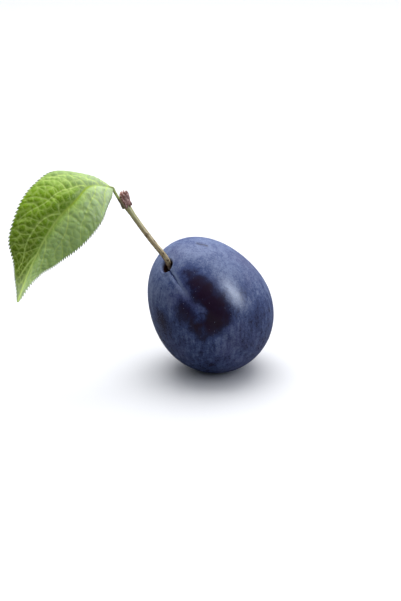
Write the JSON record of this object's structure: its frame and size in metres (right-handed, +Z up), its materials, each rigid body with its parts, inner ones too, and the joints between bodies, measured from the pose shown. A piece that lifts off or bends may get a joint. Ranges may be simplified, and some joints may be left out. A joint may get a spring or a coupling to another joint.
{
  "type": "plum",
  "caption": "Ripe blue plum with a waxy bloom, a stem cavity and suture, its stalk, a stub of fruiting spur and a serrated leaf, resting on a small flat spot.",
  "frame": {"origin": "on the small flat spot that the plum rests on, within 0.5 mm of its middle", "axes": "+Z up, +Y away from the front of the plum, +X to the right of a viewer who faces the front; the leaf points to -X"},
  "size_m": [0.0941, 0.0665, 0.0802],
  "materials": {
    "skin": "dark purple skin under a pale blue waxy bloom, glossy where the bloom is rubbed off",
    "stalk": "satin green-yellow bark with brown flecks",
    "spur": "rough red-brown bark with scale scars",
    "leaf": "satin green with paler veins, duller and paler beneath"
  },
  "bodies": {
    "root": {"fruit": "skin", "stalk": "stalk", "spur": "spur", "leaf": "leaf"}
  },
  "joints": []
}
